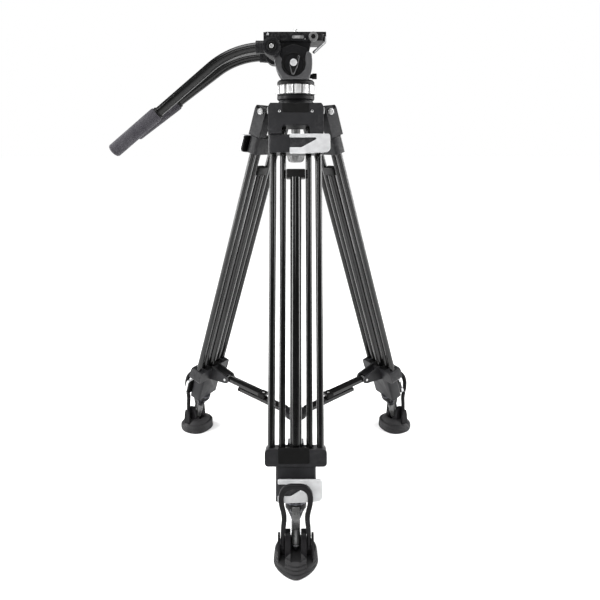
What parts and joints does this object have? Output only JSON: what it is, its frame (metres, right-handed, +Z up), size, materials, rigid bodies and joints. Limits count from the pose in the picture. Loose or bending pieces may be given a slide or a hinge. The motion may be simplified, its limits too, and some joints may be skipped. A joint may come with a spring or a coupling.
{
  "type": "tripod with fluid head",
  "caption": "Twin-tube video tripod with spreader, rubber shoes and a fluid head with pan bars, drag ring and sliding camera plate.",
  "frame": {"origin": "middle of the footprint box on the floor", "axes": "+Z up through the head, the first leg towards -Y, the pan bars towards -X"},
  "size_m": [0.7448, 0.591, 1.06],
  "materials": {
    "anodised_black": "satin black anodised",
    "plate_black": "black anodised with a rubber face",
    "casting_grey": "dark grey textured paint over die casting",
    "silver_lever": "silver satin",
    "ring_silver": "fluted, silver satin",
    "screw_steel": "turned",
    "knob_black": "fine grain",
    "knob_grey": "fine grain",
    "shoe_rubber": "matt moulded",
    "grip_foam": "closed-cell foam"
  },
  "bodies": {
    "crown": {"crown": "casting_grey", "pan_base": "casting_grey"},
    "clamp_knob": {"bowl_clamp_knob": "knob_black"},
    "drag_ring": {"drag_ring": "ring_silver"},
    "pan_head": {"head_base": "casting_grey", "tilt_axle": "screw_steel"},
    "tilt": {"tilt_head": "casting_grey"},
    "tilt_lock": {"tilt_lock_lever": "knob_black"},
    "pan_lock": {"pan_lock_knob": "knob_black"},
    "plate": {"camera_plate": "plate_black"},
    "camera_screw": {"camera_screw": "screw_steel"},
    "plate_lock": {"plate_lock_knob": "knob_grey"},
    "plate_release": {"plate_release_lever": "silver_lever"},
    "bar_near": {"pan_bar_near": "anodised_black", "grip_near": "grip_foam"},
    "bar_far": {"pan_bar_far": "anodised_black", "grip_far": "grip_foam"},
    "leg_1_upper": {"leg_1_yoke": "casting_grey", "leg_1_inner_tubes": "anodised_black"},
    "leg_1_mid": {"leg_1_upper_clamp": "casting_grey", "leg_1_outer_tube_left": "anodised_black", "leg_1_outer_tube_right": "anodised_black", "leg_1_lower_clamp": "casting_grey"},
    "leg_1_top_lever": {"leg_1_upper_lever": "silver_lever"},
    "leg_1_bottom_lever": {"leg_1_lower_lever": "silver_lever"},
    "leg_1_low": {"leg_1_centre_tube": "anodised_black", "leg_1_foot": "casting_grey"},
    "leg_1_shoe": {"leg_1_shoe_pad": "shoe_rubber"},
    "leg_1_strap": {"leg_1_shoe_strap": "shoe_rubber"},
    "leg_1_rail": {"leg_1_spreader_rail": "anodised_black"},
    "leg_2_upper": {"leg_2_yoke": "casting_grey", "leg_2_inner_tubes": "anodised_black"},
    "leg_2_mid": {"leg_2_upper_clamp": "casting_grey", "leg_2_outer_tube_left": "anodised_black", "leg_2_outer_tube_right": "anodised_black", "leg_2_lower_clamp": "casting_grey"},
    "leg_2_top_lever": {"leg_2_upper_lever": "silver_lever"},
    "leg_2_bottom_lever": {"leg_2_lower_lever": "silver_lever"},
    "leg_2_low": {"leg_2_centre_tube": "anodised_black", "leg_2_foot": "casting_grey"},
    "leg_2_shoe": {"leg_2_shoe_pad": "shoe_rubber"},
    "leg_2_strap": {"leg_2_shoe_strap": "shoe_rubber"},
    "leg_2_rail": {"leg_2_spreader_rail": "anodised_black"},
    "leg_3_upper": {"leg_3_yoke": "casting_grey", "leg_3_inner_tubes": "anodised_black"},
    "leg_3_mid": {"leg_3_upper_clamp": "casting_grey", "leg_3_outer_tube_left": "anodised_black", "leg_3_outer_tube_right": "anodised_black", "leg_3_lower_clamp": "casting_grey"},
    "leg_3_top_lever": {"leg_3_upper_lever": "silver_lever"},
    "leg_3_bottom_lever": {"leg_3_lower_lever": "silver_lever"},
    "leg_3_low": {"leg_3_centre_tube": "anodised_black", "leg_3_foot": "casting_grey"},
    "leg_3_shoe": {"leg_3_shoe_pad": "shoe_rubber"},
    "leg_3_strap": {"leg_3_shoe_strap": "shoe_rubber"},
    "leg_3_rail": {"leg_3_spreader_rail": "anodised_black"},
    "hub": {"spreader_hub": "casting_grey", "spreader_arm_1": "anodised_black", "spreader_arm_2": "anodised_black", "spreader_arm_3": "anodised_black"}
  },
  "joints": [
    {"name": "bowl_clamp", "type": "hinge", "parent": "crown", "child": "clamp_knob", "pos_m": [0.03889, 0.08652, 0.8], "axis": [0, 0, 1], "range_deg": [-180, 180]},
    {"name": "drag_setting", "type": "hinge", "parent": "crown", "child": "drag_ring", "pos_m": [0.03889, 0.08652, 0.927], "axis": [0, 0, 1], "range_deg": [-135, 135]},
    {"name": "pan", "type": "hinge", "parent": "crown", "child": "pan_head", "pos_m": [0.03889, 0.08652, 0.943], "axis": [0, 0, 1], "continuous": true},
    {"name": "tilt", "type": "hinge", "parent": "pan_head", "child": "tilt", "pos_m": [0.03389, 0.08652, 0.98], "axis": [0, -1, 0], "range_deg": [-60, 30]},
    {"name": "tilt_lock_turn", "type": "hinge", "parent": "pan_head", "child": "tilt_lock", "pos_m": [0.03389, 0.03652, 0.98], "axis": [0, 1, 0], "range_deg": [-30, 60]},
    {"name": "pan_lock_turn", "type": "hinge", "parent": "pan_head", "child": "pan_lock", "pos_m": [0.08089, 0.08652, 0.958], "axis": [1, 0, 0], "range_deg": [-180, 180]},
    {"name": "plate_slide", "type": "slide", "parent": "tilt", "child": "plate", "axis": [1, 0, 0], "range_m": [-0.03, 0.03]},
    {"name": "camera_screw_turn", "type": "hinge", "parent": "plate", "child": "camera_screw", "pos_m": [0.03889, 0.08652, 1.045], "axis": [0, 0, 1], "range_deg": [-180, 180]},
    {"name": "plate_lock_turn", "type": "hinge", "parent": "tilt", "child": "plate_lock", "pos_m": [0.07689, 0.04152, 1.036], "axis": [0, 1, 0], "range_deg": [-90, 90]},
    {"name": "plate_release_press", "type": "hinge", "parent": "tilt", "child": "plate_release", "pos_m": [0.10309, 0.05552, 1.037], "axis": [0, -1, 0], "range_deg": [0, 20], "stiffness_Nm_per_rad": 0.05, "springref_deg": -5.73},
    {"name": "bar_near_angle", "type": "hinge", "parent": "tilt", "child": "bar_near", "pos_m": [-0.01261, 0.01912, 1.01], "axis": [0, 1, 0], "range_deg": [-6, 35]},
    {"name": "bar_far_angle", "type": "hinge", "parent": "tilt", "child": "bar_far", "pos_m": [-0.01261, 0.15392, 1.01], "axis": [0, 1, 0], "range_deg": [-6, 35]},
    {"name": "leg_1_fold", "type": "hinge", "parent": "crown", "child": "leg_1_upper", "pos_m": [0.03889, 0.02952, 0.87851], "axis": [1, 0, 0], "range_deg": [0, 6.5]},
    {"name": "leg_1_middle_stage", "type": "slide", "parent": "leg_1_upper", "child": "leg_1_mid", "axis": [0, -0.3045, -0.9525], "range_m": [0, 0.24]},
    {"name": "leg_1_top_lever_open", "type": "hinge", "parent": "leg_1_mid", "child": "leg_1_top_lever", "pos_m": [0.03089, -0.01532, 0.80885], "axis": [0, -0.3045, -0.9525], "range_deg": [0, 100]},
    {"name": "leg_1_bottom_lever_open", "type": "hinge", "parent": "leg_1_mid", "child": "leg_1_bottom_lever", "pos_m": [0.00889, -0.23148, 0.14096], "axis": [0, -0.3045, -0.9525], "range_deg": [0, 90]},
    {"name": "leg_1_lower_stage", "type": "slide", "parent": "leg_1_mid", "child": "leg_1_low", "axis": [0, -0.3045, -0.9525], "range_m": [0, 0.3]},
    {"name": "leg_1_shoe_tilt", "type": "hinge", "parent": "leg_1_low", "child": "leg_1_shoe", "pos_m": [0.03889, -0.24395, 0.0232], "axis": [1, 0, 0], "range_deg": [0, 15]},
    {"name": "leg_1_strap_swing", "type": "hinge", "parent": "leg_1_shoe", "child": "leg_1_strap", "pos_m": [0.03889, -0.25145, 0.036], "axis": [1, 0, 0], "range_deg": [0, 82]},
    {"name": "leg_1_rail_turn", "type": "hinge", "parent": "leg_1_mid", "child": "leg_1_rail", "pos_m": [0.03889, -0.12673, 0.17602], "axis": [1, 0, 0], "range_deg": [-6.6, 0]},
    {"name": "leg_2_fold", "type": "hinge", "parent": "crown", "child": "leg_2_upper", "pos_m": [0.08825, 0.11502, 0.87851], "axis": [-0.5, 0.866, 0], "range_deg": [0, 6.5]},
    {"name": "leg_2_middle_stage", "type": "slide", "parent": "leg_2_upper", "child": "leg_2_mid", "axis": [0.2637, 0.1523, -0.9525], "range_m": [0, 0.24]},
    {"name": "leg_2_top_lever_open", "type": "hinge", "parent": "leg_2_mid", "child": "leg_2_top_lever", "pos_m": [0.13109, 0.13051, 0.80885], "axis": [0.2637, 0.1523, -0.9525], "range_deg": [0, 100]},
    {"name": "leg_2_bottom_lever_open", "type": "hinge", "parent": "leg_2_mid", "child": "leg_2_bottom_lever", "pos_m": [0.32929, 0.21954, 0.14096], "axis": [0.2637, 0.1523, -0.9525], "range_deg": [0, 90]},
    {"name": "leg_2_lower_stage", "type": "slide", "parent": "leg_2_mid", "child": "leg_2_low", "axis": [0.2637, 0.1523, -0.9525], "range_m": [0, 0.3]},
    {"name": "leg_2_shoe_tilt", "type": "hinge", "parent": "leg_2_low", "child": "leg_2_shoe", "pos_m": [0.32508, 0.25175, 0.0232], "axis": [-0.5, 0.866, 0], "range_deg": [0, 15]},
    {"name": "leg_2_strap_swing", "type": "hinge", "parent": "leg_2_shoe", "child": "leg_2_strap", "pos_m": [0.33158, 0.2555, 0.036], "axis": [-0.5, 0.866, 0], "range_deg": [0, 82]},
    {"name": "leg_2_rail_turn", "type": "hinge", "parent": "leg_2_mid", "child": "leg_2_rail", "pos_m": [0.22357, 0.19314, 0.17602], "axis": [-0.5, 0.866, 0], "range_deg": [-6.6, 0]},
    {"name": "leg_3_fold", "type": "hinge", "parent": "crown", "child": "leg_3_upper", "pos_m": [-0.01047, 0.11502, 0.87851], "axis": [-0.5, -0.866, 0], "range_deg": [0, 6.5]},
    {"name": "leg_3_middle_stage", "type": "slide", "parent": "leg_3_upper", "child": "leg_3_mid", "axis": [-0.2637, 0.1523, -0.9525], "range_m": [0, 0.24]},
    {"name": "leg_3_top_lever_open", "type": "hinge", "parent": "leg_3_mid", "child": "leg_3_top_lever", "pos_m": [-0.04531, 0.14437, 0.80885], "axis": [-0.2637, 0.1523, -0.9525], "range_deg": [0, 100]},
    {"name": "leg_3_bottom_lever_open", "type": "hinge", "parent": "leg_3_mid", "child": "leg_3_bottom_lever", "pos_m": [-0.22151, 0.2715, 0.14096], "axis": [-0.2637, 0.1523, -0.9525], "range_deg": [0, 90]},
    {"name": "leg_3_lower_stage", "type": "slide", "parent": "leg_3_mid", "child": "leg_3_low", "axis": [-0.2637, 0.1523, -0.9525], "range_m": [0, 0.3]},
    {"name": "leg_3_shoe_tilt", "type": "hinge", "parent": "leg_3_low", "child": "leg_3_shoe", "pos_m": [-0.24731, 0.25175, 0.0232], "axis": [-0.5, -0.866, 0], "range_deg": [0, 15]},
    {"name": "leg_3_strap_swing", "type": "hinge", "parent": "leg_3_shoe", "child": "leg_3_strap", "pos_m": [-0.2538, 0.2555, 0.036], "axis": [-0.5, -0.866, 0], "range_deg": [0, 82]},
    {"name": "leg_3_rail_turn", "type": "hinge", "parent": "leg_3_mid", "child": "leg_3_rail", "pos_m": [-0.14579, 0.19314, 0.17602], "axis": [-0.5, -0.866, 0], "range_deg": [-6.6, 0]},
    {"name": "spreader_slide", "type": "slide", "parent": "crown", "child": "hub", "axis": [0, 0, 1], "range_m": [-0.245, 0]}
  ],
  "couplings": [
    {"joint": "leg_1_rail_turn", "follows": "leg_1_fold", "ratio": -1},
    {"joint": "leg_1_strap_swing", "follows": "leg_1_bottom_lever_open", "ratio": 0.9},
    {"joint": "leg_2_fold", "follows": "leg_1_fold", "ratio": 1},
    {"joint": "leg_2_middle_stage", "follows": "leg_1_middle_stage", "ratio": 1},
    {"joint": "leg_2_rail_turn", "follows": "leg_1_fold", "ratio": -1},
    {"joint": "leg_2_strap_swing", "follows": "leg_2_bottom_lever_open", "ratio": 0.9},
    {"joint": "leg_3_fold", "follows": "leg_1_fold", "ratio": 1},
    {"joint": "leg_3_middle_stage", "follows": "leg_1_middle_stage", "ratio": 1},
    {"joint": "leg_3_rail_turn", "follows": "leg_1_fold", "ratio": -1},
    {"joint": "leg_3_strap_swing", "follows": "leg_3_bottom_lever_open", "ratio": 0.9},
    {"joint": "spreader_slide", "follows": "leg_1_middle_stage", "ratio": -1.0035}
  ]
}
